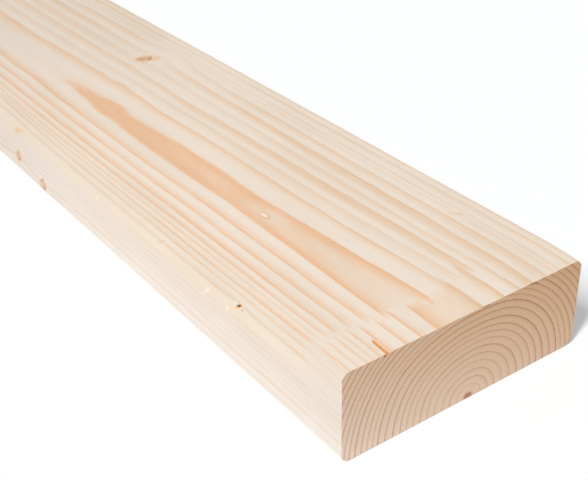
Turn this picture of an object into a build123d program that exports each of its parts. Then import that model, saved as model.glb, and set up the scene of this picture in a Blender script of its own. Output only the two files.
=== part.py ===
from build123d import *
import os

# A plank of planed softwood: one piece of stock with square-cut ends and eased long edges.
# The origin is the middle of the underside. +X runs along the grain, +Y across the width
# and +Z up through the thickness. Lengths are in millimetres.

# Stock size
plank_length = 2400.0
plank_width = 125.0
plank_thickness = 44.0

# Eased long edges: a flat cut takes off each arris, and its two corners are rubbed soft
arris_cut = 2.5
arris_softening = 1.0

# The softening stays short of the middle of a small cut
softening_radius = min(arris_softening, arris_cut)

os.makedirs("parts", exist_ok=True)

# The plank: its section stands on the YZ plane and runs half the length to each end
with BuildPart() as plank:
    with BuildSketch(Plane.YZ) as section:
        with Locations((0, plank_thickness / 2)):
            Rectangle(plank_width, plank_thickness)
        chamfer(section.vertices(), arris_cut)
        fillet(section.vertices(), softening_radius)
    extrude(amount=plank_length / 2, both=True)

plank.part.label = "plank"
export_step(plank.part, "parts/plank.step")
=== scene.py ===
import math
from collections import namedtuple

import bpy
import numpy as np
from mathutils import Matrix, Vector


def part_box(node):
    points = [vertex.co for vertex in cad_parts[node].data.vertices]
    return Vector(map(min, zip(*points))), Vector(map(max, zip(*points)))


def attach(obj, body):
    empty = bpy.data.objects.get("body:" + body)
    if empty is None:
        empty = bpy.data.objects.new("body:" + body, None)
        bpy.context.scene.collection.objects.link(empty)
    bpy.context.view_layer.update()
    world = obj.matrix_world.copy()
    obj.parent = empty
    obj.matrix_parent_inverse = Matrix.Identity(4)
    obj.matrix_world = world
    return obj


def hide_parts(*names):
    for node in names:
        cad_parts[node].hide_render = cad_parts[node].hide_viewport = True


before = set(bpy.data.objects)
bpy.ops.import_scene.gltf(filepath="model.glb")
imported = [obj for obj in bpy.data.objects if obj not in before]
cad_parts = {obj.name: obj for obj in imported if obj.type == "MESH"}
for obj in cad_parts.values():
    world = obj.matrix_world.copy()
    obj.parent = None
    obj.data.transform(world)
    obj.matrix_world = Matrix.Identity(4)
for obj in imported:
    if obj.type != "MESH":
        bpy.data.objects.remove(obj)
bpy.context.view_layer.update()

# A plank of planed softwood on a white studio floor. Places on it are in millimetres: along the grain from
# the near end (minus going away), across from the middle (minus towards the side that the camera sees) and
# up from the floor.
MM = 0.001
LOW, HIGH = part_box("plank")
NEAR_END = HIGH.x / MM
LENGTH = (HIGH.x - LOW.x) / MM
WIDTH = (HIGH.y - LOW.y) / MM
THICKNESS = (HIGH.z - LOW.z) / MM

# Eased long edges, as in the CAD: a flat cut on each arris with two softened corners
ARRIS_CUT = 2.5
ARRIS_SOFTENING = 1.0

# Mesh density: cells on the flats of the section, steps round each softened corner, a narrow cell beside it
CELLS_ACROSS = 74
CELLS_UP = 24
CORNER_STEPS = 3
CORNER_MARGIN = 0.15


def ease(start, stop, value):
    """0 before start, 1 after stop, eased between them."""
    t = np.clip((value - start) / (stop - start), 0, 1)
    return t * t * (3 - 2 * t)


def drawn(place, points, rounding=8.0):
    """A line drawn through (place, value) points, with its corners rounded."""
    places, values = zip(*sorted(points))
    shifts = np.linspace(-rounding, rounding, 9)
    return np.mean([np.interp(place + shift, places, values) for shift in shifts], axis=0)


def bell(value, centre, reach):
    return np.exp(-(((value - centre) / reach) ** 2))


def srgb(red, green, blue):
    """A screen colour, 0 to 255, as the linear colour that a shader takes."""
    channels = []
    for channel in (red, green, blue):
        c = channel / 255
        channels.append(c / 12.92 if c <= 0.04045 else ((c + 0.055) / 1.055) ** 2.4)
    return (*channels, 1.0)


# The plank's mesh


def side_profile(run_length, cells):
    """One side of the section from the middle of one arris to the middle of the next, as (run, depth)."""
    tangent = ARRIS_SOFTENING * math.tan(math.pi / 8)
    corner = [(ARRIS_CUT / 2, ARRIS_CUT / 2)]
    for step in range(CORNER_STEPS + 1):
        angle = math.radians(-135 + 45 * step / CORNER_STEPS)
        run = ARRIS_CUT + tangent + ARRIS_SOFTENING * math.cos(angle)
        corner.append((run, ARRIS_SOFTENING * (1 + math.sin(angle))))
    corner.append((corner[-1][0] + CORNER_MARGIN, 0.0))
    flat = np.linspace(corner[-1][0], run_length - corner[-1][0], cells + 1)[1:-1]
    far_corner = [(run_length - run, depth) for run, depth in reversed(corner)]
    return np.array(corner + [(run, 0.0) for run in flat] + far_corner)


def section_loop():
    """The section as a closed loop of (across, up): underside, far side, top, near side."""
    wide = side_profile(WIDTH, CELLS_ACROSS)[:-1]
    tall = side_profile(THICKNESS, CELLS_UP)[:-1]
    half = WIDTH / 2
    underside = np.column_stack([wide[:, 0] - half, wide[:, 1]])
    far_side = np.column_stack([half - tall[:, 1], tall[:, 0]])
    top = np.column_stack([half - wide[:, 0], THICKNESS - wide[:, 1]])
    near_side = np.column_stack([tall[:, 1] - half, THICKNESS - tall[:, 0]])
    return np.vstack([underside, far_side, top, near_side]), len(wide), len(tall)


# Where the mesh is finer: at both ends, at the whorls of knots (distances from the near end) and in view. A
# step between two rings of vertices starts at its least there and grows with the distance
WHORLS = [285.0, 745.0, 1205.0, 1665.0, 2115.0]
WHORL_REACH = 25.0
VIEW_REACH = 430.0
END_STEP, END_GROWTH = 0.18, 0.35
WHORL_STEP, WHORL_GROWTH = 2.6, 0.2
WIDEST_IN_VIEW, WIDEST_ELSEWHERE = 4.0, 13.0


def station_step(distance):
    """Space to the next ring of vertices."""
    from_end = max(min(distance, LENGTH - distance), 0.0)
    from_whorl = max(min(abs(distance - whorl) for whorl in WHORLS) - WHORL_REACH, 0.0)
    widest = WIDEST_IN_VIEW if distance < VIEW_REACH else WIDEST_ELSEWHERE
    return min(END_STEP + END_GROWTH * from_end, WHORL_STEP + WHORL_GROWTH * from_whorl, widest)


def stations():
    distances = [0.0]
    while distances[-1] < LENGTH:
        distances.append(distances[-1] + station_step(distances[-1]))
    return np.array(distances) * (LENGTH / distances[-1])


def smooth_noise(seed, count, spacing, samples):
    """A repeatable random line from 0 to 1, with the given spacing between its turns."""
    turns = np.random.default_rng(seed).random(int(count / spacing) + 3)
    position = samples / spacing
    whole = np.floor(position).astype(int)
    blend = ease(0, 1, position - whole)
    return turns[whole] * (1 - blend) + turns[whole + 1] * blend


# Wear of the sawn rims: its least depth, chips as (depth, spacing), and how it fades along the plank
RIM_WEAR = 0.05
RIM_CHIPS = [(0.10, 5.5), (0.07, 2.2)]
RIM_BAND = 5.0
SIDE_WEAR = 0.6
WEAR_REACH, REACH_PER_DEPTH, WEAR_POWER = 0.25, 1.4, 1.6


def end_wear(loop, seed):
    """How far the saw and handling have worn each point of an end's rim, as (across, up) shifts."""
    across, up = loop.T
    run = np.concatenate([[0.0], np.cumsum(np.hypot(*np.diff(loop, axis=0).T))])
    wear = np.full(len(loop), RIM_WEAR)
    for number, (depth, spacing) in enumerate(RIM_CHIPS):
        wear += depth * smooth_noise(seed + number, run[-1], spacing, run)
    by_side = ease(WIDTH / 2 - RIM_BAND, WIDTH / 2, np.abs(across))
    by_floor = ease(RIM_BAND, 0, up)
    by_top = ease(THICKNESS - RIM_BAND, THICKNESS, up)
    return np.column_stack([-np.sign(across) * SIDE_WEAR * wear * by_side, wear * (by_floor - by_top)])


# The planer dipped over the last of the top before the near end, deepest towards the camera's side
DIP_REACH = 18.0
DIP_FAR_SIDE = 1.0
DIP_NEAR_SIDE = 1.7
DIP_POWER = 1.3
DIP_HEIGHTS = 30, 40


def planer_dip(along, across):
    depth = DIP_FAR_SIDE + (DIP_NEAR_SIDE - DIP_FAR_SIDE) * ease(WIDTH / 2, -WIDTH / 2, across)
    return depth * np.clip(1 + along / DIP_REACH, 0, 1) ** DIP_POWER


def inward_normals(loop):
    ahead = np.roll(loop, -1, axis=0) - np.roll(loop, 1, axis=0)
    ahead /= np.linalg.norm(ahead, axis=1)[:, None]
    return np.column_stack([-ahead[:, 1], ahead[:, 0]])


def cap_grid(rim, wide_count, tall_count):
    """A grid of (across, up) points that fills an end between the four sides of its rim."""
    below = rim[: wide_count + 1]
    beyond = rim[wide_count : wide_count + tall_count + 1]
    above = rim[wide_count + tall_count : 2 * wide_count + tall_count + 1][::-1]
    before = np.vstack([rim[2 * wide_count + tall_count :], rim[:1]])[::-1]
    u = np.linspace(0, 1, wide_count + 1)[:, None, None]
    v = np.linspace(0, 1, tall_count + 1)[None, :, None]
    ruled = (1 - v) * below[:, None] + v * above[:, None] + (1 - u) * before[None] + u * beyond[None]
    corners = (1 - v) * ((1 - u) * below[0] + u * below[-1]) + v * ((1 - u) * above[0] + u * above[-1])
    return ruled - corners


def grid_rim_numbers(wide_count, tall_count):
    """The rim vertex that each border point of a cap's grid shares."""
    numbers = {}
    total = 2 * (wide_count + tall_count)
    for i in range(wide_count + 1):
        numbers[i, 0] = i
        numbers[i, tall_count] = 2 * wide_count + tall_count - i
    for j in range(tall_count + 1):
        numbers[wide_count, j] = wide_count + j
        numbers[0, j] = (total - j) % total
    return numbers


# The arrises are rubbed unevenly by up to this depth, with this spacing, where they lie inside the box
RUB_DEPTH = 0.22
RUB_SPACING = 60.0
RUBBED_FROM, RUBBED_FULLY = 0.05, 0.8


def plank_points(loop, distances):
    """Every ring of vertices, as (along, across, up), with worn rims and slightly uneven arrises."""
    inward = inward_normals(loop)
    bare = np.empty((len(distances), len(loop), 3))
    bare[:, :, 0] = -distances[:, None]
    bare[:, :, 1:] = loop[None]
    worn = bare.copy()
    for wear, from_end in ((end_wear(loop, 11), distances), (end_wear(loop, 23), LENGTH - distances)):
        reach = WEAR_REACH + REACH_PER_DEPTH * np.linalg.norm(wear, axis=1)
        fade = np.clip(1 - from_end[:, None] / reach[None], 0, 1) ** WEAR_POWER
        worn[:, :, 1:] += fade[:, :, None] * wear[None]
    worn[:, :, 2] -= planer_dip(bare[:, :, 0], bare[:, :, 1]) * ease(*DIP_HEIGHTS, bare[:, :, 2])
    depth = np.minimum(WIDTH / 2 - np.abs(loop[:, 0]), THICKNESS / 2 - np.abs(loop[:, 1] - THICKNESS / 2))
    on_arris = ease(RUBBED_FROM, RUBBED_FULLY, depth)
    for side in (-1, 1):
        for level in (-1, 1):
            here = (np.sign(loop[:, 0]) == side) & (np.sign(loop[:, 1] - THICKNESS / 2) == level)
            rub = RUB_DEPTH * smooth_noise(40 + 3 * side + level, LENGTH, RUB_SPACING, distances)
            worn[:, :, 1:] += (rub[:, None] * (on_arris * here)[None])[:, :, None] * inward[None]
    return bare, worn


# Knots and marks. A place on a face is (along, across) on the top and the underside, (along, up) on the
# sides and (across, up) on the near end
TOP, UNDERSIDE, SIDE, FAR_SIDE, END = "top", "underside", "camera's side", "far side", "near end"
Spot = namedtuple("Spot", "face along level half_along half_level turn")

# Sound knots outside the photo, in the whorls where the branches grew
SOUND_KNOTS = [Spot(face, *place) for face, places in {
    TOP: [(-738, -30, 7, 5, 10), (-1212, 38, 8, 5.5, -8), (-1655, 8, 5, 3.6, 0), (-2122, 30, 6.5, 5, 12)],
    SIDE: [(-752, 24, 5, 4.2, 20), (-1198, 14, 5.5, 4, -15), (-1672, 28, 4, 3.6, 0),
           (-2104, 20, 6, 4.5, 10)],
    FAR_SIDE: [(-291, 22, 4.5, 4, 15), (-741, 16, 5, 4, -10), (-1203, 30, 5.5, 4.2, 0),
               (-1669, 21, 4, 3.8, 20), (-2111, 14, 5, 4.4, -12)],
    UNDERSIDE: [(-288, 24, 6, 4.6, 0), (-747, 18, 7, 5.2, 14), (-1206, -36, 6, 4.6, -10),
                (-1662, 26, 7, 5.2, 8), (-2117, -28, 6, 4.8, 0)],
}.items() for place in places]

# Grain pushed aside, mostly round the knots in the photo: (along, level, reach along, reach of level, push)
PUSHES_TOP = [
    (-297, 43, 22, 6.5, 5.5), (-297, 26, 22, 16, 1.8), (-312, 23.5, 9, 4, -3), (-279, -1, 9, 4, 2),
    (-60, 46, 10, 6, 1), (-279, -28.4, 11, 3, 1.4), (-295, -27.4, 9, 3, 1.9), (-420, 13.5, 90, 6, 2.7),
    (-375, 43, 55, 7, 2.6),
]
PUSHES_SIDE = [(-67, 35, 9, 4, 1.2), (-264, 7, 10, 6, -2), (-296, 12, 12, 7, 2.5), (-25, 9, 45, 5, 1)]

# How deep under a face its knots push the grain: fully, and then less until not at all
PUSH_FULLY, PUSH_NO_MORE = 3, 12

# Where the latewood of the top fades: (along, across, reach along, reach across, how much), and how strong
# it is along the far half of the top
FADES_TOP = [
    (-301, 31, 20, 12, 0.72), (-60, 47, 6, 4, 0.4), (-303, -23, 11, 6, 0.45), (-28, -17.8, 12, 3.5, 0.38),
    (-45, -19.5, 8, 2.5, 0.35), (-59, -18.9, 7, 1.9, 0.45), (-72, -18.3, 9, 2, 0.28),
    (-85, -20, 12, 3, 0.16), (-103, -19.2, 9, 3.8, 0.72), (-118, -21.5, 8, 3, 0.28),
    (-150, -21.5, 14, 3, 0.24), (-30, -10.3, 8, 0.8, -0.2), (-45, -12.2, 8, 0.9, -0.4),
    (-60, -13.4, 8, 1, -0.35), (-75, -14.6, 9, 1, -0.25), (-90, -15.8, 9, 1.2, -0.15),
]
FAR_LATE_ALONG = [(0, 1), (-190, 1), (-260, 0.7), (-320, 0.7), (-400, 0.78), (-700, 0.85), (-2400, 0.9)]


def pushes_round(face):
    """Grain that parts round each sound knot of a face."""
    pushes = []
    for knot in SOUND_KNOTS:
        if knot.face == face:
            reach_along, reach_level = 6 + 2.0 * knot.half_along, 1.3 * knot.half_level
            for side in (-1, 1):
                level, push = knot.level + side * knot.half_level, side * 0.6 * knot.half_level
                pushes.append((knot.along, level, reach_along, reach_level, push))
    return pushes


def pushed(along, level, pushes):
    shift = np.zeros_like(level)
    for centre_along, centre_level, reach_along, reach_level, push in pushes:
        shift += push * bell(along, centre_along, reach_along) * bell(level, centre_level, reach_level)
    return shift


# The growth rings, as a ring number at every vertex: whole numbers are the dark outer edges of the rings.
# Each ring of the main length is (distance of its edge from the crown, latewood strength, latewood breadth)

# On the top face 20 mm from the near end: outwards on the far side, then on the camera's side
CROWN_START = -18.1
RINGS_FAR = [
    (10.9, 1, 0), (22.3, 0.76, 0.1), (30.4, 0.46, 0.4), (38.6, 0.74, 0.85), (43.3, 0.48, 0.5),
    (52.1, 0.72, 0.85), (59.9, 0.66, 0.5), (64.9, 0.34, 0.1), (67.3, 0.56, 0.1), (73.8, 0.68, 0),
    (78, 0.6, 0), (82.5, 0.7, 0), (87, 0.6, 0.4), (91, 0.7, 0.4),
]
RINGS_NEAR = [
    (11.4, 1, 0), (18.9, 0.92, 0.4), (26.2, 0.82, 0.3), (32.7, 0.92, 0.35), (36.9, 0.88, 0.3),
    (39.9, 0.52, 0.3), (42.1, 0.95, 0.3), (47, 0.6, 0.4), (50, 0.7, 0.4), (53.5, 0.6, 0.4), (57, 0.7, 0.4),
]
# Under the crown, level with the pith, outwards from it
RINGS_UNDER = [
    (5, 0.5, 0.3), (9.2, 0.6, 0.4), (13.2, 0.5, 0.4), (17.2, 0.7, 0.4), (21, 0.6, 0.4), (24.6, 0.7, 0.4),
    (28, 0.6, 0.4), (31.4, 0.7, 0.4), (34.8, 0.6, 0.4), (38.2, 0.7, 0.4), (41.8, 0.6, 0.4),
    (45.5, 0.7, 0.4), (49.5, 0.8, 0.2),
]
PITH_UP = 1.0
RING_FLATNESS = 1.45

# The crown's place across along the plank, and how far the top face cuts below the first section's rings
CROWN_LINE = [
    (0, -17.6), (-20, -18.1), (-40, -18.7), (-70, -19.7), (-110, -20.6), (-150, -21.2), (-205, -22.3),
    (-240, -23), (-252, -22.6), (-270, -22.6), (-285, -23.4), (-300, -22.9), (-350, -24), (-400, -25),
    (-700, -20), (-1100, -9), (-1500, -14), (-1900, -3), (-2400, -10),
]
CROWN_CUT = [
    (0, -10), (-20, 0), (-40, 15), (-70, 43), (-110, 64), (-130, 75), (-150, 65), (-180, 64), (-205, 70),
    (-225, 84), (-240, 99), (-252, 76), (-262, 86), (-271, 100), (-279, 101), (-287, 110), (-294, 113),
    (-301, 110), (-307, 127), (-315, 140), (-350, 150), (-400, 175), (-560, 300), (-760, 430),
    (-1000, 520), (-1250, 400), (-1500, 190), (-1750, 60), (-2000, 170), (-2200, 330), (-2400, 420),
]

# Latewood breadth along the crown's own ring
CROWN_BREADTH = [(0, 0), (-108, 0.05), (-158, 0.85), (-2400, 0.85)]

# The camera's side: heights of its ring edges, how they rise along the plank, and their latewood strengths
SIDE_RINGS = [(44.5, 5), (43.1, 6), (40.5, 7), (36.9, 7.45), (34.8, 8), (25.8, 9), (22.8, 10), (19.4, 11),
              (16.4, 12), (13.2, 13), (8.2, 14), (3.6, 15), (-1, 16)]
SIDE_RISE = [(0, 0.4), (-60, 0.5), (-130, 0), (-220, -0.4), (-262, 0.2), (-290, 1.8), (-330, 1.8),
             (-420, 0), (-700, 2), (-1000, -1), (-1400, 2), (-1800, -2), (-2400, 1)]
SIDE_LATE = [(0, 0.1), (3, 0.28), (6.5, 0.32), (7.5, 0.48), (9, 0.48), (10.5, 0.25), (25, 0.25),
             (27, 0.08), (33, 0.09), (34.4, 0.62), (41.2, 0.7), (42.2, 0.95), (44, 0.95)]
SIDE_BREADTH = 0.25


def of_ring(ring, first_ring, values):
    """The value of the ring that a point is in, changing over in the ring's pale early part."""
    places, levels = [], []
    for step, value in enumerate(values):
        places += [first_ring + step - 0.65, first_ring + step + 0.10]
        levels += [value, value]
    return np.interp(ring, places, levels)


def main_rings(along, across, up):
    """Ring numbers, latewood strengths and latewood breadths of the main length."""
    near_top = ease(THICKNESS - PUSH_NO_MORE, THICKNESS - PUSH_FULLY, up)
    near_floor = ease(PUSH_NO_MORE, PUSH_FULLY, up)
    near_far_side = ease(WIDTH / 2 - PUSH_NO_MORE, WIDTH / 2 - PUSH_FULLY, across)
    shift = near_top * pushed(along, across, PUSHES_TOP + pushes_round(TOP))
    shift += near_floor * pushed(along, across, pushes_round(UNDERSIDE))
    up = up - near_far_side * pushed(along, up, pushes_round(FAR_SIDE))
    across = across - shift
    drift = drawn(along, CROWN_LINE) - CROWN_START
    follows = 1 - ease(14, 24, across) - 0.35 * ease(-34, -52, across)
    from_crown = across - CROWN_START - drift * follows
    crown_height = THICKNESS - PITH_UP
    fall = RING_FLATNESS * (crown_height**2 - (up - PITH_UP) ** 2)
    spread = from_crown**2 + drawn(along, CROWN_CUT, 4.0) - fall
    first = -len(RINGS_UNDER)
    halves = []
    for outer in (RINGS_NEAR, RINGS_FAR):
        distances, lates, breadths = zip(*(RINGS_UNDER + outer))
        edges = np.square(distances)
        edges[:-first] -= RING_FLATNESS * crown_height**2
        ring = np.interp(spread, edges, np.arange(first, len(outer)))
        halves.append(np.array([ring, of_ring(ring, first, lates), of_ring(ring, first, breadths)]))
    on_far = ease(-4, 4, from_crown)
    ring, late, breadth = halves[0] * (1 - on_far) + halves[1] * on_far
    breadth += 0.4 * on_far * bell(ring, 0.75, 0.45) * ease(-200, -245, along)
    crown = ease(0.45, 0.05, np.abs(ring + 0.3))
    breadth += (drawn(along, CROWN_BREADTH) - breadth) * crown
    fade = 1 - (1 - drawn(along, FAR_LATE_ALONG)) * ease(-2, 8, across)
    for place, level, reach_along, reach_across, amount in FADES_TOP:
        fade *= 1 - amount * bell(along, place, reach_along) * bell(across, level, reach_across)
    return ring, late * fade, breadth


def side_rings(along, up):
    """Ring numbers and latewood strengths on the side that the camera sees."""
    rise = drawn(along, SIDE_RISE) * ease(20, 34, up) * ease(44, 40, up)
    level = up - rise - pushed(along, up, PUSHES_SIDE + pushes_round(SIDE))
    heights, numbers = zip(*sorted(SIDE_RINGS))
    return np.interp(level, heights, numbers), drawn(level, SIDE_LATE, 1.0)


# The near end: radii of the rings towards the camera's side with their latewood strengths, and how the
# inner and the outer rings flatten with the angle from the far side round over the top
END_PITH = (2.0, 1.0)
END_RINGS = [
    (2.6, 0.1), (6.8, 0.25), (10.5, 0.57), (14.5, 0.5), (18.7, 0.35), (22.5, 0.48), (26.2, 0.74),
    (29.8, 0.45), (33.1, 0.55), (36.2, 0.74), (39.9, 0.87), (43.8, 0.65), (47.5, 1), (49.9, 0.6),
    (52.7, 0.66), (55.6, 0.74), (58.6, 1), (61.3, 0.85), (63.8, 0.7), (66.4, 0.95), (69.2, 0.9),
    (72.2, 0.9), (75, 0.9), (77.9, 0.9),
]
INNER_SHAPE = [(0, 1.02), (30, 0.965), (60, 0.91), (90, 0.892), (120, 0.915), (150, 0.99), (180, 1)]
OUTER_SHAPE = [(0, 1.083), (20, 1.042), (40, 0.983), (60, 0.928), (75, 0.877), (90, 0.847), (110, 0.865),
               (125, 0.903), (140, 0.957), (155, 0.974), (170, 0.986), (180, 1)]

# Where the same rings run along the top face, just behind the near end: (across, ring number)
SKIN_RINGS = [
    (-64.2, 22), (-60.4, 21), (-56.4, 20), (-52.4, 19), (-49.3, 18), (-46.3, 17), (-41.3, 16), (-34, 15),
    (-26.8, 14), (-18.7, 13), (-17, 12.9), (-13.3, 12.81), (-5.8, 12.66), (0.6, 12.78), (3.6, 12.9),
    (5.7, 13), (17.2, 14), (26.1, 15), (34.3, 16), (44.3, 17), (49, 18), (55.6, 19), (60.3, 20),
]
SKIN_LATE = [
    (-62, 0.75), (-55.7, 0.65), (-51.7, 0.85), (-48.3, 0.6), (-45, 0.85), (-40, 0.95), (-33, 0.85),
    (-25.6, 0.95), (-17.5, 0.95), (6.3, 0.9), (18, 0.95), (26.8, 0.65), (35, 1), (45, 0.65), (49.7, 0.65),
    (56.3, 0.9), (62, 0.6),
]


def end_rings(across, up):
    """Ring numbers of the near end."""
    sideways = across - END_PITH[0]
    height = np.maximum(up - END_PITH[1], 0)
    radius = np.hypot(sideways, height)
    angle = np.degrees(np.arctan2(height, sideways))
    outwards = ease(10, 42, radius)
    shape = drawn(angle, INNER_SHAPE, 5.0) * (1 - outwards) + drawn(angle, OUTER_SHAPE, 5.0) * outwards
    radii = [radius for radius, late in END_RINGS]
    return np.interp(radius / shape, radii, np.arange(len(radii)))


# Just behind the near end the main lines give way to those of the end. Some leave later and some come
# earlier than the rest: (across, reach, by how much)
LEAVES_LATER = [(-28.5, 1.6, 3), (-14.5, 3, 3), (-8.5, 2.2, 8), (3, 3.5, 8)]
COMES_EARLIER = [(-26, 2.5, 1.5), (-16.5, 3.5, -5), (4.5, 2.5, 5), (16.5, 3, 9), (25, 3, 9)]

# How far the end's lines lean with the dip: in the middle, and the width over which that grows by one
SKIN_LEAN = 0.8
LEAN_MIDDLE = 1.05
LEAN_WIDTH = 240


def shifted(across, shifts):
    return sum(amount * bell(across, centre, reach) for centre, reach, amount in shifts)


# Between these distances from the near end the edges of the rings soften
CRISP_UNTIL = -40.0
SOFT_FROM = -200.0

# Painted light and shade, and colour that changes at random further along. The top and the side darken away
# from the near end as painted shade where the light falls off. The top is lighter towards the camera than
# away by painted light, and the low and the high part of the side each have their own curve. The light
# falls
# hardest on the near arris: painted shade by the way that a face points, in degrees from up, evens that
# out, and painted light brightens the far arris
TONE_ALONG = [
    (0, 0.986), (-60, 0.986), (-105, 0.992), (-150, 0.974), (-190, 0.967), (-265, 0.947), (-365, 0.882),
    (-440, 0.872), (-700, 0.92), (-1100, 0.87), (-1500, 0.94), (-1900, 0.88), (-2400, 0.93),
]
PAINTED_LIGHT_ACROSS = [(0, 0.026), (-70, 0.026), (-110, 0.033), (-200, 0.033), (-265, 0.02), (-365, 0), (-2400, 0)]
SIDE_TONE_ALONG = [(0, 0.99), (-150, 0.992), (-200, 0.978), (-265, 0.9), (-330, 0.885), (-440, 0.89),
                   (-700, 0.93), (-2400, 0.93)]
HIGH_SIDE_TONE_ALONG = [(0, 0.985), (-150, 0.985), (-265, 0.94), (-330, 0.915), (-440, 0.905),
                        (-700, 0.93), (-2400, 0.93)]
SHADE_AND_LIGHT_BY_FACING = [(-90, 1), (-45, 1.08), (-15, 1.06), (0, 1), (22, 0.862), (45, 0.793), (68, 0.819),
               (90, 0.871), (135, 1), (180, 1)]
# Painted shade on the planer's dip, where its tilt catches more light
DIP_SHADE = 0.015


def grain_fields(points, worn_points, facing):
    """What the material reads at each vertex, by name. Facing is in degrees from up to the camera."""
    along, across, up = points.T
    on_top = ease(THICKNESS - 8, THICKNESS - 4, up)
    on_side = ease(-WIDTH / 2 + 2.3, -WIDTH / 2 + 1.5, across)

    def joined(elsewhere, here):
        return elsewhere * (1 - on_side) + here * on_side

    ring, late, breadth = main_rings(along, across, up)
    side_ring, side_late = side_rings(along, up)
    dip = planer_dip(along, across)
    lean = SKIN_LEAN * dip * (LEAN_MIDDLE + across / LEAN_WIDTH)
    skin_ring = np.interp(across - lean, *zip(*SKIN_RINGS)) * on_top
    skin_late = np.interp(across - lean, *zip(*SKIN_LATE)) * on_top
    faint = np.minimum(side_late, 0.22 + 0.26 * ease(12, 9, up) + 0.08 * ease(33, 35, up))
    far_strip = ease(30, 42, across) * on_top * ease(-310, -350, along)

    end_ring = end_rings(*worn_points.T[1:])
    end_late = of_ring(end_ring, 0, [late for radius, late in END_RINGS])
    skin_ring += end_ring * (1 - on_top)
    skin_late += (0.15 + 0.75 * end_late) * (1 - on_top)
    # The ends' painted shade, growing from the lower corner on the camera's side to the upper far corner
    end_shading = np.clip(0.52 * (across + 58) / 116 + 0.48 * (up - 3) / 38, 0, 1)

    # Painted light along the lowest edge of the camera's side, lifting the shade where it meets the floor;
    # it also takes the latewood out there
    low_arris_painted_light = on_side * ease(4.5, 2.0, up)
    slope = drawn(along, PAINTED_LIGHT_ACROSS) * on_top * across / (WIDTH / 2)
    top_tone = drawn(along, TONE_ALONG, 30.0) * (1 - slope) * (1 - DIP_SHADE * dip)
    high_side = ease(29, 36, up)
    side_tone = drawn(along, SIDE_TONE_ALONG, 30.0) * (1 - high_side)
    side_tone += drawn(along, HIGH_SIDE_TONE_ALONG, 30.0) * high_side
    shade_and_tone = joined(top_tone, side_tone)
    off_edge = ease(0.35, 0.7, np.abs(ring))
    cream = on_side * ease(24.5, 27.5, up) * ease(36.5, 32, up)
    return {
        "leaving_place": along - on_top * shifted(across, LEAVES_LATER),
        "coming_place": along + on_top * shifted(across, COMES_EARLIER),
        "ring": joined(ring, side_ring),
        "late": joined(late, side_late) * (1 - low_arris_painted_light),
        "breadth": joined(np.maximum(breadth, far_strip), SIDE_BREADTH),
        "softness": ease(CRISP_UNTIL, SOFT_FROM, along) * (0.6 + 0.4 * off_edge),
        "loose": 0.4 + 0.6 * ease(0.15, 0.7, np.abs(ring)) * (1 - on_side) + 0.6 * on_side,
        "far_half": ease(-8, 8, across),
        "side": on_side,
        "end_ring": end_ring,
        "end_late": end_late,
        "end_shade": end_shading**0.68,
        "skin_ring": joined(skin_ring, side_ring),
        "skin_late": joined(skin_late, faint),
        "skin": 1 - on_top * ease(27, 31, across),
        "pale": on_side * ease(33, 26, up),
        "cream": cream * ease(-6, -42, along),
        "low_side": on_side * ease(14, 3.5, up),
        "low_arris_painted_light": low_arris_painted_light,
        "pith": bell(across, drawn(along, CROWN_LINE) + 1.5, 1.3) * ease(1.5, 0.3, up),
        "shade_and_tone": shade_and_tone * np.interp(facing, *zip(*SHADE_AND_LIGHT_BY_FACING)),
    }


# The bake map: the long faces below, along the plank in u and round the section in v, with the two ends
# side by side above them
MAP_MARGIN = 0.004
LONG_MAP_HEIGHT = 0.84
END_MAP_START, END_MAP_HEIGHT, END_MAP_WIDTH = 0.86, 0.13, 0.49
SHARP_ANGLE = 28


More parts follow.
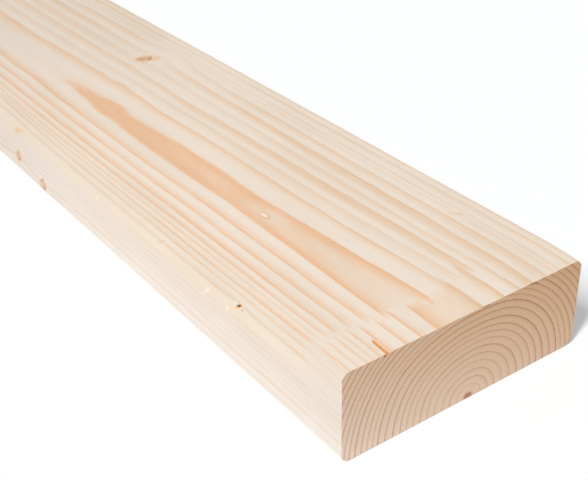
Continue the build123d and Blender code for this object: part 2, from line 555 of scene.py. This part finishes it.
def plank_mesh():
    loop, wide_count, tall_count = section_loop()
    distances = stations()
    bare, worn = plank_points(loop, distances)
    rows, columns = worn.shape[:2]
    bare_points, worn_points = list(bare.reshape(-1, 3)), list(worn.reshape(-1, 3))
    faces, ends, corners_uv = [], [], []

    # The long faces
    run = np.concatenate([[0.0], np.cumsum(np.hypot(*np.diff(np.vstack([loop, loop[:1]]), axis=0).T))])
    map_u = MAP_MARGIN + (1 - 2 * MAP_MARGIN) * distances / LENGTH
    map_v = MAP_MARGIN + LONG_MAP_HEIGHT * run / run[-1]
    for i in range(rows - 1):
        here, ahead = i * columns, (i + 1) * columns
        for j in range(columns):
            after = (j + 1) % columns
            faces.append((here + j, ahead + j, ahead + after, here + after))
            ends.append(0.0)
            near_u, far_u, low_v, high_v = map_u[i], map_u[i + 1], map_v[j], map_v[j + 1]
            corners_uv += [(near_u, low_v), (far_u, low_v), (far_u, high_v), (near_u, high_v)]

    # The two ends share the rims' vertices
    rim_numbers = grid_rim_numbers(wide_count, tall_count)
    for first, is_near, map_left in ((0, True, 0.0), ((rows - 1) * columns, False, 0.5)):
        grid = cap_grid(worn[first // columns][:, 1:], wide_count, tall_count)
        bare_grid = cap_grid(bare[first // columns][:, 1:], wide_count, tall_count)
        numbers = {}
        for i in range(wide_count + 1):
            for j in range(tall_count + 1):
                if (i, j) in rim_numbers:
                    numbers[i, j] = first + rim_numbers[i, j]
                    continue
                numbers[i, j] = len(worn_points)
                end_along = worn_points[first][0]
                worn_points.append((end_along, *grid[i, j]))
                bare_points.append((end_along, *bare_grid[i, j]))
        for i in range(wide_count):
            for j in range(tall_count):
                cell = [(i, j), (i + 1, j), (i + 1, j + 1), (i, j + 1)]
                if not is_near:
                    cell.reverse()
                faces.append(tuple(numbers[c] for c in cell))
                ends.append(1.0)
                for c in cell:
                    across, up = grid[c]
                    u = map_left + MAP_MARGIN + END_MAP_WIDTH * (across / WIDTH + 0.5)
                    corners_uv.append((u, END_MAP_START + END_MAP_HEIGHT * up / THICKNESS))

    outward = -inward_normals(loop)
    facing = np.zeros(len(worn_points))
    facing[: rows * columns] = np.tile(np.degrees(np.arctan2(-outward[:, 0], outward[:, 1])), rows)
    worn_points = np.array(worn_points)
    mesh = bpy.data.meshes.new("plank_timber")
    place = (worn_points + (NEAR_END, 0, 0)) * MM
    mesh.from_pydata(place.tolist(), [], faces)
    for name, values in grain_fields(np.array(bare_points), worn_points, facing).items():
        layer = mesh.attributes.new(name, "FLOAT", "POINT")
        layer.data.foreach_set("value", np.asarray(values, np.float32))
    layer = mesh.attributes.new("end_face", "FLOAT", "FACE")
    layer.data.foreach_set("value", ends)
    bake_map = mesh.uv_layers.new(name="OFBake")
    bake_map.data.foreach_set("uv", np.array(corners_uv, np.float32).ravel())
    mesh.shade_smooth()
    mesh.set_sharp_from_angle(angle=math.radians(SHARP_ANGLE))
    mesh.validate()
    return mesh


# The material


class Shader:
    """Short calls that add nodes to a material or a world and join them."""

    def __init__(self, owner):
        owner.use_nodes = True
        self.owner = owner
        self.tree = owner.node_tree
        self.tree.nodes.clear()

    def add(self, kind, inputs=(), **settings):
        node = self.tree.nodes.new("ShaderNode" + kind)
        for key, value in settings.items():
            setattr(node, key, value)
        for key, value in dict(inputs).items():
            if isinstance(value, bpy.types.NodeSocket):
                self.tree.links.new(value, node.inputs[key])
            else:
                node.inputs[key].default_value = value
        return node

    def math(self, operation, a, b=0.0, clamp=False):
        return self.add("Math", {0: a, 1: b}, operation=operation, use_clamp=clamp).outputs[0]

    def plus(self, a, b):
        return self.math("ADD", a, b)

    def minus(self, a, b):
        return self.math("SUBTRACT", a, b)

    def times(self, a, b, clamp=False):
        return self.math("MULTIPLY", a, b, clamp)

    def dim(self, colour, level):
        """A colour times a number."""
        return self.add("HueSaturation", {"Color": colour, "Value": level}).outputs[0]

    def read(self, name):
        """A number that the mesh holds."""
        return self.add("Attribute", attribute_name=name).outputs["Fac"]

    def seen(self):
        """1 for what the camera sees, also in a reflection or through glass."""
        rays = self.add("LightPath").outputs
        seen = self.math("MAXIMUM", rays["Is Camera Ray"], rays["Is Glossy Ray"])
        return self.math("MAXIMUM", seen, rays["Is Transmission Ray"])

    def smooth(self, value, start, stop, low=0.0, high=1.0):
        inputs = {"Value": value, "From Min": start, "From Max": stop, "To Min": low, "To Max": high}
        return self.add("MapRange", inputs, interpolation_type="SMOOTHSTEP").outputs[0]

    def blend(self, factor, a, b):
        """From number a to number b."""
        return self.add("Mix", {0: factor, 2: a, 3: b}, data_type="FLOAT").outputs[0]

    def mix(self, factor, a, b, kind="MIX"):
        """From colour a to colour b."""
        return self.add("Mix", {0: factor, 6: a, 7: b}, data_type="RGBA", blend_type=kind).outputs[2]

    def tint(self, factor, a, b):
        """Colour a multiplied by colour b, as far as the factor says."""
        return self.mix(factor, a, b, "MULTIPLY")

    def ramp(self, factor, stops):
        """A colour and its opacity read off a line of (position, colour, opacity) stops."""
        node = self.add("ValToRGB", {"Fac": factor})
        elements = node.color_ramp.elements
        while len(elements) < len(stops):
            elements.new(1.0)
        for element, (position, colour, opacity) in zip(elements, stops):
            element.position = position
            element.color = (*colour[:3], opacity)
        return node.outputs["Color"], node.outputs["Alpha"]

    def curve(self, factor, points):
        """A number read off a line of (position, level) points."""
        return self.ramp(factor, [(position, (1, 1, 1), level) for position, level in points])[1]

    def noise(self, position, along, across, detail=2.0, roughness=0.5):
        """Unevenness of so many millimetres along and across the grain."""
        scale = (1 / (along * MM), 1 / (across * MM), 1 / (across * MM))
        place = self.add("Mapping", {"Vector": position, "Scale": scale}, vector_type="POINT").outputs[0]
        inputs = {"Vector": place, "Scale": 1.0, "Detail": detail, "Roughness": roughness}
        return self.add("TexNoise", inputs).outputs["Fac"]


# Colours under plain white light. The near end darkens from its lower near corner to its upper far corner,
# as painted shade
EARLYWOOD = srgb(242, 228, 213)
MIDDLE_TONE = srgb(241, 210, 182)
LATEWOOD = srgb(239, 192, 151)
MIDDLE_TONE_FAR_HALF = srgb(237, 211, 184)
LATEWOOD_FAR_HALF = srgb(234, 194, 153)
MIDDLE_TONE_SIDE = srgb(239, 210, 178)
LATEWOOD_SIDE = srgb(238, 192, 145)
PALE_SIDE = srgb(242, 231, 221)
CREAM_BAND = srgb(246, 231, 213)
LOW_SIDE = srgb(242, 235, 229)
# Painted light on the lowest edge of the camera's side
LOW_ARRIS_PAINTED_LIGHT = srgb(252, 248, 243)
PITH_STREAK = srgb(190, 146, 108)
END_EARLYWOOD = srgb(245, 225, 206)
END_EARLYWOOD_SHADED = srgb(216, 176, 136)
END_LATEWOOD = srgb(211, 152, 111)
END_LATEWOOD_SHADED = srgb(174, 113, 77)
CLOUD_TINT = srgb(247, 243, 238)
FIBRE_TINT = srgb(247, 240, 232)
PORE_TINT = srgb(240, 218, 194)
SPECKLE_TINT = srgb(238, 228, 218)

# How dark a ring is from its inner to its outer edge: with narrow or broad latewood on the long faces, with
# a crisp edge near the end and a softer one further off, and on the ends
NARROW_LATEWOOD = [(0.46, 0), (0.62, 0.17), (0.74, 0.32), (0.83, 0.53), (0.9, 0.82)]
BROAD_LATEWOOD = [(0.28, 0), (0.45, 0.4), (0.6, 0.7), (0.8, 0.88)]
CRISP_EDGE = [(0.0, 0.2), (0.025, 0.0)], [(0.95, 1.0), (0.99, 0.92), (1.0, 0.2)]
SOFT_EDGE = [(0.0, 0.48), (0.07, 0.17), (0.14, 0.0)], [(0.9, 1.0), (0.95, 0.82), (1.0, 0.48)]
END_PROFILE = [(0, 0.3), (0.05, 0), (0.5, 0.02), (0.8, 0.24), (0.925, 1), (0.975, 0.96), (1, 0.3)]

# Between these distances from the near end the main pattern leaves, and that of the end comes, its dark
# lines first. The change is ragged by the fibre and the wander
MAIN_LEAVES = -26.0, -14.0
SKIN_COMES = -20.0, -11.0
DARK_LEAD = 4.0
RAGGED_FIBRE, RAGGED_WANDER = 5.0, 10.0

# Unevenness of the wood: its size along and across the grain, detail and roughness
WANDER = 55, 7
FLUTTER = 13, 1.6
FIBRE = 26, 0.55, 3.0, 0.6
FIGURE = 34, 1.5, 3.0
CLOUD = 90, 16
PORE = 5.5, 0.42, 1.0
SPECKLE = 0.5, 0.5
MOTTLE = 3.2, 0.8
RAGGED_SPOT = 2.4, 1.6

# How far the rings wobble, in rings, and the share of that on the ends
WOBBLE = 0.16
END_WOBBLE = 0.9

# What the unevenness does: between two of its levels the result goes from one number to another. The last
# goes by the softness of the rings
FIGURE_DARK = 0.3, 0.7, 0.82, 1.16
FIBRE_DARK = 0.2, 0.8, 0.84, 1.12
MOTTLE_DARK = 0.3, 0.7, 0.92, 1.08
PITH_STRENGTH = -0.3, 0.2, 0.25, 0.85
CLOUD_STRENGTH = 0.62, 0.3, 0, 0.5
FIBRE_STRENGTH = 0.55, 0.25, 0, 0.55
PORE_STRENGTH = 0.68, 0.8, 0, 0.35
SPECKLE_STRENGTH = 0.55, 0.25, 0, 0.7
CALM_WITH_SOFTNESS = 0.2, 1, 1, 0.5

# The surface: heights of what stands out, and the finish
FIBRE_HEIGHT, SPECKLE_HEIGHT, LATEWOOD_HEIGHT = 0.6, 0.25, 0.35
BUMP_STRENGTH = 0.35
BUMP_DISTANCE = 0.12
ROUGHNESS = 0.62
SPECULAR = 0.25


def with_edge(latewood, edge):
    return edge[0] + latewood + edge[1]


def ring_part(shader, ring, wobble):
    return shader.math("FRACT", shader.plus(ring, wobble))


def main_darkness(shader, part, breadth, softness):
    """Latewood, 0 to 1, of the main length."""
    levels = []
    for latewood in (NARROW_LATEWOOD, BROAD_LATEWOOD):
        crisp = shader.curve(part, with_edge(latewood, CRISP_EDGE))
        soft = shader.curve(part, with_edge(latewood, SOFT_EDGE))
        levels.append(shader.blend(softness, crisp, soft))
    return shader.blend(breadth, *levels)


def wood_colour(shader, dark, early, middle, late):
    """From earlywood over the middle tone to latewood."""
    twice = shader.times(dark, 2.0)
    early_half = shader.mix(shader.math("MINIMUM", twice, 1.0), early, middle)
    return shader.mix(shader.math("SUBTRACT", twice, 1.0, clamp=True), early_half, late)


# How the marks look: (distance from the middle in half sizes, colour, opacity) from the middle outwards.
# They are painted in this order
LOOKS = {
    "pale_patch": [(0, (243, 227, 209), 0.6), (0.5, (243, 225, 205), 0.5), (1.3, (242, 222, 200), 0)],
    "amber_patch": [(0, (221, 181, 139), 0.88), (0.6, (223, 187, 147), 0.72), (1.3, (229, 203, 174), 0)],
    "side_knot": [(0, (201, 165, 132), 0.82), (0.6, (205, 172, 140), 0.72), (1, (216, 186, 156), 0.45),
                  (1.6, (226, 202, 178), 0)],
    "faint_tail": [(0, (220, 188, 156), 0.65), (0.6, (222, 194, 166), 0.45), (1.4, (226, 204, 182), 0)],
    "rosy_speck": [(0, (240, 204, 170), 0.7), (0.6, (240, 209, 178), 0.5), (1.4, (241, 219, 196), 0)],
    "knot_halo": [(0, (222, 184, 148), 0.85), (0.6, (224, 188, 152), 0.8), (1, (232, 200, 166), 0.55),
                  (1.7, (236, 212, 184), 0)],
    "knot_heart": [(0, (215, 175, 139), 0.9), (0.7, (214, 173, 137), 0.85), (1.1, (220, 182, 146), 0.4),
                   (1.5, (226, 190, 156), 0)],
    "orange_tail": [(0, (234, 186, 142), 0.9), (0.6, (235, 191, 150), 0.7), (1.4, (238, 206, 174), 0)],
    "faint_stroke": [(0, (230, 198, 164), 0.85), (0.6, (231, 203, 172), 0.65), (1.3, (236, 214, 190), 0)],
    "brown_smear": [(0, (194, 140, 99), 0.78), (0.6, (200, 149, 109), 0.62), (1.3, (214, 172, 136), 0)],
    "dark_rim_mark": [(0, (158, 110, 82), 0.9), (0.6, (166, 120, 92), 0.75), (1.3, (196, 154, 122), 0)],
    "grey_dash": [(0, (166, 128, 95), 0.72), (0.6, (178, 142, 110), 0.58), (1.5, (210, 178, 146), 0)],
    "dark_arc": [(0, (170, 116, 76), 0.85), (0.6, (182, 130, 90), 0.7), (1.5, (204, 158, 122), 0)],
    "rim_arc": [(0, (240, 212, 186), 0), (0.75, (236, 196, 158), 0), (1, (228, 172, 128), 0.9),
                (1.5, (235, 194, 156), 0)],
    "white_pin": [(0, (246, 234, 222), 0.95), (0.6, (245, 230, 215), 0.85), (1.25, (240, 212, 185), 0)],
    "grey_scratch": [(0, (194, 176, 148), 0.8), (0.6, (202, 186, 160), 0.6), (1.4, (224, 208, 186), 0)],
    "white_fleck_and_glint": [(0, (247, 238, 228), 0.62), (0.6, (246, 236, 224), 0.45), (1.4, (244, 228, 210), 0)],
    "pin_ring": [(0, (246, 216, 180), 0.5), (0.5, (246, 209, 162), 0.7), (0.85, (243, 188, 126), 0.85),
                 (1.1, (246, 206, 158), 0.5), (1.5, (247, 220, 188), 0)],
    "pin_core": [(0, (66, 36, 20), 1), (0.6, (92, 54, 32), 0.95), (1, (168, 112, 70), 0.6),
                 (1.5, (220, 168, 116), 0)],
    "resin": [(0, (236, 150, 64), 0.95), (0.5, (229, 143, 60), 0.95), (0.9, (214, 134, 66), 0.88),
              (1.25, (234, 178, 114), 0.45), (1.8, (240, 208, 170), 0)],
    "resin_glint": [(0, (248, 208, 142), 0.85), (0.6, (246, 196, 124), 0.6), (1.4, (238, 170, 90), 0)],
    "resin_dot": [(0, (164, 90, 30), 1), (0.7, (174, 102, 44), 0.9), (1.1, (190, 134, 86), 0.5),
                  (1.6, (196, 150, 112), 0)],
    "pith": [(0, (184, 122, 72), 0.95), (0.7, (190, 132, 86), 0.9), (0.95, (160, 110, 80), 0.85),
             (1.2, (196, 154, 122), 0.4), (2, (214, 178, 148), 0)],
    "sound_knot": [(0, (124, 82, 52), 0.95), (0.1, (182, 132, 92), 0.95), (0.34, (196, 146, 106), 0.95),
                   (0.42, (176, 126, 88), 0.95), (0.6, (204, 156, 114), 0.95), (0.7, (182, 132, 92), 0.95),
                   (0.86, (196, 146, 106), 0.95), (0.97, (138, 92, 60), 0.95),
                   (1.12, (210, 164, 122), 0.75), (1.5, (230, 192, 154), 0.4), (2.4, (238, 210, 180), 0)],
}
LOOK_REACH = 2.5
RAGGEDNESS = 0.45
SPOT_DEPTH = 5.0

# Where they are
SPOTS = {
    "pale_patch": [(TOP, -60.5, 46.8, 2.6, 1.5, 0), (TOP, -203, -57.7, 1.7, 0.8, -20)],
    "amber_patch": [(SIDE, -290.5, 29, 6.6, 2.2, 24), (SIDE, -285.5, 31.3, 5, 0.9, 4)],
    "side_knot": [(SIDE, -295.4, 11.4, 4.8, 2.9, 40), (SIDE, -264.6, 6.2, 5, 3, 25)],
    "faint_tail": [(SIDE, -291.6, 15.6, 3.2, 1.2, 48), (SIDE, -262.4, 10.4, 1.8, 2, 0)],
    "rosy_speck": [(SIDE, -63.6, 37.4, 2.2, 0.55, 15), (TOP, -200.8, -58.7, 1.9, 0.8, -22)],
    "knot_halo": [(TOP, -305.6, 26.4, 4.8, 5.4, 15)],
    "knot_heart": [(TOP, -305.2, 26.9, 3.3, 4.1, 20)],
    "orange_tail": [(TOP, -301.6, 32.2, 2.3, 4.3, 20)],
    "faint_stroke": [(TOP, -59.4, 44.3, 2, 0.9, 5), (TOP, -56.9, 46.7, 2.9, 1.3, 48),
                     (TOP, -3.6, -43.4, 1.4, 0.3, 0), (SIDE, -90.8, 29.4, 2.5, 0.4, 58)],
    "brown_smear": [(TOP, -306.4, 24.2, 2.8, 1.7, 30)],
    # Darker marks along the near end's top rim
    "dark_rim_mark": [(END, 8.4, 42.4, 2.2, 0.55, -4), (END, 34.2, 42.2, 2.9, 0.6, -10),
                   (END, 36, 41.7, 1.6, 0.6, -35)],
    "grey_dash": [(SIDE, -295.5, 13.4, 2.3, 1.1, 35), (SIDE, -294.8, 9.7, 3, 1.2, 35),
                  (SIDE, -265.2, 8.5, 2.9, 0.95, 27), (SIDE, -262.8, 4.6, 2.9, 1.3, 38),
                  (SIDE, -64.6, 34.2, 1.5, 0.3, 38)],
    "dark_arc": [(TOP, -303.6, 29.4, 2.8, 1.1, -40)],
    "rim_arc": [(TOP, -107.7, -21.9, 2.9, 1.6, 3)],
    "white_pin": [(TOP, -108.3, -21.8, 2.5, 1.25, 2)],
    "grey_scratch": [(SIDE, -130.3, 34.7, 5.2, 0.45, 32)],
    # The first, beside the resin, is a painted glint; the others are pale flecks
    "white_fleck_and_glint": [(TOP, -4.6, -42.8, 1.4, 0.4, 0), (SIDE, -92.2, 29.2, 3.3, 1, 40),
                    (SIDE, -76.4, 28.8, 2.4, 0.9, 66), (SIDE, -194.6, 28.4, 2.3, 0.6, 58),
                    (SIDE, -69.8, 35.2, 1.2, 0.5, 33)],
    "pin_ring": [(SIDE, -67.3, 34.4, 3.1, 0.8, 33)],
    "pin_core": [(SIDE, -66.9, 35.2, 2.1, 0.55, 36)],
    "resin": [(TOP, -6.2, -41.7, 2, 0.65, 0), (TOP, -3.7, -41.65, 2.3, 0.68, 0),
              (TOP, -0.9, -41.5, 2.4, 0.72, 4)],
    "resin_glint": [(TOP, -6.6, -41.45, 0.7, 0.3, 40), (TOP, -4.9, -41.45, 0.7, 0.3, 40),
                    (TOP, -3.1, -41.4, 0.7, 0.3, 40), (TOP, -1.4, -41.3, 0.7, 0.3, 40)],
    "resin_dot": [(END, -42.5, 41.7, 0.6, 0.55, 0)],
    "pith": [(END, 1.9, 0.8, 1.9, 1.7, 0)],
    "sound_knot": SOUND_KNOTS,
}


def spot_frame(spot):
    """The middle of a spot, its half sizes and its turn, as the shader's mapping takes them."""
    turn = math.radians(spot.turn)
    flat = (spot.half_along, spot.half_level)
    if spot.face in (TOP, UNDERSIDE):
        up = THICKNESS if spot.face == TOP else 0.0
        return (NEAR_END + spot.along, spot.level, up), (*flat, SPOT_DEPTH), (0, 0, turn)
    if spot.face == END:
        return (NEAR_END, spot.along, spot.level), (SPOT_DEPTH, *flat), (turn, 0, 0)
    across = WIDTH / 2 if spot.face == FAR_SIDE else -WIDTH / 2
    return (NEAR_END + spot.along, across, spot.level), (flat[0], SPOT_DEPTH, flat[1]), (0, -turn, 0)


def add_spots(shader, position, colour, on_end):
    """Paints the knots and marks of the near end, or those of the long faces, over the colour."""
    uneven = shader.noise(position, *RAGGED_SPOT)
    share = RAGGEDNESS / LOOK_REACH
    ragged = shader.plus(shader.times(uneven, share), 1 - share / 2)
    for look, layers in LOOKS.items():
        spots = [Spot(*spot) for spot in SPOTS[look] if (spot[0] == END) == on_end]
        if not spots:
            continue
        closeness = 0.0
        for spot in spots:
            place, size, turn = spot_frame(spot)
            inputs = {"Vector": position, "Location": [p * MM for p in place], "Rotation": turn}
            inputs["Scale"] = [s * LOOK_REACH * MM for s in size]
            local = shader.add("Mapping", inputs, vector_type="TEXTURE").outputs[0]
            ball = shader.add("TexGradient", {"Vector": local}, gradient_type="SPHERICAL")
            closeness = shader.math("MAXIMUM", ball.outputs["Fac"], closeness)
        distance = shader.minus(ragged, closeness)
        stops = [(reach / LOOK_REACH, srgb(*mark), opacity) for reach, mark, opacity in layers]
        mark_colour, opacity = shader.ramp(distance, stops)
        colour = shader.mix(opacity, colour, mark_colour)
    return colour


def softwood():
    shader = Shader(bpy.data.materials.new("planed_softwood"))
    position = shader.add("TexCoord").outputs["Object"]
    leaving_place, coming_place = shader.read("leaving_place"), shader.read("coming_place")

    wander = shader.minus(shader.noise(position, *WANDER), 0.5)
    flutter = shader.minus(shader.noise(position, *FLUTTER), 0.5)
    wobble = shader.plus(shader.times(wander, WOBBLE), shader.times(flutter, WOBBLE))
    wobble = shader.times(wobble, shader.read("loose"))
    sizes = (FIBRE, FIGURE, CLOUD, PORE, SPECKLE, MOTTLE)
    fibre, figure, cloud, pore, speckle, mottle = [shader.noise(position, *size) for size in sizes]

    # The long faces: the main length's rings, and near the end those of the end
    softness = shader.read("softness")
    part = ring_part(shader, shader.read("ring"), wobble)
    main = main_darkness(shader, part, shader.read("breadth"), softness)
    main = shader.times(main, shader.read("late"))
    part = ring_part(shader, shader.read("skin_ring"), wobble)
    skin = shader.curve(part, with_edge(NARROW_LATEWOOD, CRISP_EDGE))
    skin = shader.times(skin, shader.read("skin_late"))
    ragged = shader.times(shader.minus(fibre, 0.5), RAGGED_FIBRE)
    ragged = shader.plus(ragged, shader.times(wander, RAGGED_WANDER))
    changes = shader.read("skin")
    leaving = shader.times(shader.smooth(shader.plus(leaving_place, ragged), *MAIN_LEAVES), changes)
    main = shader.times(main, shader.minus(1.0, leaving))
    coming = shader.plus(shader.plus(coming_place, ragged), shader.times(skin, DARK_LEAD))
    coming = shader.times(shader.smooth(coming, *SKIN_COMES), changes)
    dark = shader.math("MAXIMUM", main, shader.times(skin, coming))
    unevenness = shader.smooth(figure, *FIGURE_DARK)
    dark = shader.times(dark, shader.blend(shader.read("loose"), 1.0, unevenness))
    dark = shader.times(dark, shader.smooth(fibre, *FIBRE_DARK), clamp=True)
    dark = shader.times(dark, shader.smooth(mottle, *MOTTLE_DARK), clamp=True)

    # Their colours
    early = EARLYWOOD
    bands = {"pale": PALE_SIDE, "cream": CREAM_BAND, "low_side": LOW_SIDE, "low_arris_painted_light": LOW_ARRIS_PAINTED_LIGHT}
    for name, colour in bands.items():
        early = shader.mix(shader.read(name), early, colour)
    far_half, side = shader.read("far_half"), shader.read("side")
    middle = shader.mix(side, shader.mix(far_half, MIDDLE_TONE, MIDDLE_TONE_FAR_HALF), MIDDLE_TONE_SIDE)
    latewood = shader.mix(side, shader.mix(far_half, LATEWOOD, LATEWOOD_FAR_HALF), LATEWOOD_SIDE)
    long_grain = wood_colour(shader, dark, early, middle, latewood)
    streak = shader.times(shader.read("pith"), shader.smooth(wander, *PITH_STRENGTH))
    long_grain = shader.mix(streak, long_grain, PITH_STREAK)
    long_grain = shader.tint(shader.smooth(cloud, *CLOUD_STRENGTH), long_grain, CLOUD_TINT)
    calm = shader.smooth(softness, *CALM_WITH_SOFTNESS)
    fibres = shader.times(shader.smooth(fibre, *FIBRE_STRENGTH), calm)
    long_grain = shader.tint(fibres, long_grain, FIBRE_TINT)
    pores = shader.times(shader.smooth(pore, *PORE_STRENGTH), calm)
    long_grain = shader.tint(pores, long_grain, PORE_TINT)
    # Painted light and shade over the long faces, with their slow changes of colour along the plank
    long_grain = shader.dim(long_grain, shader.read("shade_and_tone"))
    long_grain = add_spots(shader, position, long_grain, on_end=False)

    # The ends: thinner, browner rings with a fine speckle
    at_near_end = shader.math("GREATER_THAN", leaving_place, -LENGTH / 2)
    end_ring = shader.blend(at_near_end, shader.read("ring"), shader.read("end_ring"))
    end_late = shader.blend(at_near_end, shader.read("late"), shader.read("end_late"))
    part = ring_part(shader, end_ring, shader.times(wobble, END_WOBBLE))
    end_dark = shader.times(shader.curve(part, END_PROFILE), end_late)
    # How deep the end's painted shade is here
    depth = shader.read("end_shade")
    end_early = shader.mix(depth, END_EARLYWOOD, END_EARLYWOOD_SHADED)
    end_grain = shader.mix(end_dark, end_early, shader.mix(depth, END_LATEWOOD, END_LATEWOOD_SHADED))
    end_grain = shader.tint(shader.smooth(speckle, *SPECKLE_STRENGTH), end_grain, SPECKLE_TINT)
    end_grain = add_spots(shader, position, end_grain, on_end=True)
    colour = shader.mix(shader.read("end_face"), long_grain, end_grain)

    height = shader.plus(shader.times(fibre, FIBRE_HEIGHT), shader.times(speckle, SPECKLE_HEIGHT))
    height = shader.plus(height, shader.times(dark, LATEWOOD_HEIGHT))
    relief = {"Height": height, "Strength": BUMP_STRENGTH, "Distance": BUMP_DISTANCE * MM}
    normal = shader.add("Bump", relief).outputs[0]
    finish = {"Roughness": ROUGHNESS, "Specular IOR Level": SPECULAR}
    surface = shader.add("BsdfPrincipled", {"Base Color": colour, "Normal": normal, **finish}).outputs[0]
    shader.add("OutputMaterial", {"Surface": surface})
    return shader.owner


def add_object(name, data):
    thing = bpy.data.objects.new(name, data)
    bpy.context.scene.collection.objects.link(thing)
    return thing


def add_plank():
    plank = add_object("plank_timber", plank_mesh())
    plank.data.materials.append(softwood())
    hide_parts("plank")
    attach(plank, "root")


# The studio


FLOOR_SIZE = 16.0
FLOOR_GAP = 0.0002
WHITE = (1.0, 1.0, 1.0, 1.0)
FLOOR_COLOUR = (0.85, 0.86, 0.872, 1.0)
FLOOR_LIFT = 0.15
AMBIENT = 0.37

# The key light stands tall and narrow: three lamps above each other, by their heights in degrees
KEY_STRENGTH = 2.66
KEY_BEARING = Vector((0.36, -1.0, 0.0)).normalized()
KEY_HEIGHTS = [39.0, 47.0, 55.0]
KEY_SOFTNESS = 9.0
KEY_DISTANCE = 3.0


def add_floor():
    """A white floor that keeps the shadow. The camera sees it a little lighter than it lights the plank."""
    half = FLOOR_SIZE / 2
    mesh = bpy.data.meshes.new("studio_floor")
    corners = [(-half, -half), (half, -half), (half, half), (-half, half)]
    mesh.from_pydata([(x, y, LOW.z - FLOOR_GAP) for x, y in corners], [], [(0, 1, 2, 3)])
    floor = add_object("studio_floor", mesh)
    shader = Shader(bpy.data.materials.new("white_floor"))
    matte = shader.add("BsdfDiffuse", {"Color": FLOOR_COLOUR}).outputs[0]
    lift = shader.times(shader.seen(), FLOOR_LIFT)
    glow = shader.add("Emission", {"Color": WHITE, "Strength": lift}).outputs[0]
    both = shader.add("AddShader", {0: matte, 1: glow}).outputs[0]
    shader.add("OutputMaterial", {"Surface": both})
    mesh.materials.append(shader.owner)


def add_light():
    world = bpy.data.worlds.new("studio")
    shader = Shader(world)
    level = shader.add("MapRange", {"Value": shader.seen(), "To Min": AMBIENT, "To Max": 1.0}).outputs[0]
    background = shader.add("Background", {"Color": WHITE, "Strength": level}).outputs[0]
    shader.add("OutputWorld", {"Surface": background})
    bpy.context.scene.world = world

    for number, height in enumerate(KEY_HEIGHTS):
        key = bpy.data.lights.new(f"key_{number}", "SUN")
        key.energy = KEY_STRENGTH / len(KEY_HEIGHTS)
        key.angle = math.radians(KEY_SOFTNESS)
        lamp = add_object(f"key_{number}", key)
        rise = math.radians(height)
        towards = KEY_BEARING * math.cos(rise) + Vector((0, 0, math.sin(rise)))
        lamp.rotation_mode = "QUATERNION"
        lamp.rotation_quaternion = towards.to_track_quat("Z", "Y")
        lamp.location = towards * KEY_DISTANCE


# The camera: its place from the middle of the near end's lower edge, its aim in degrees, and its lens
CAMERA_OFFSET = Vector((236.2, -246.6, 280.4)) * MM
CAMERA_HEADING = 55.07
CAMERA_PITCH = -31.27
CAMERA_ROLL = -1.38
CAMERA_LENS = 65.64
SENSOR_WIDTH = 36.0
CAMERA_NEAR = 0.01


def add_camera():
    data = bpy.data.cameras.new("camera")
    data.lens = CAMERA_LENS
    data.sensor_width = SENSOR_WIDTH
    data.clip_start = CAMERA_NEAR
    camera = add_object("camera", data)
    turn = Matrix.Rotation(math.radians(CAMERA_HEADING), 4, "Z")
    tilt = Matrix.Rotation(math.radians(90 + CAMERA_PITCH), 4, "X")
    roll = Matrix.Rotation(math.radians(CAMERA_ROLL), 4, "Z")
    place = Vector((HIGH.x, 0, LOW.z)) + CAMERA_OFFSET
    camera.matrix_world = Matrix.Translation(place) @ turn @ tilt @ roll
    bpy.context.scene.camera = camera


bpy.context.scene.view_settings.view_transform = "Standard"
add_plank()
add_floor()
add_light()
add_camera()
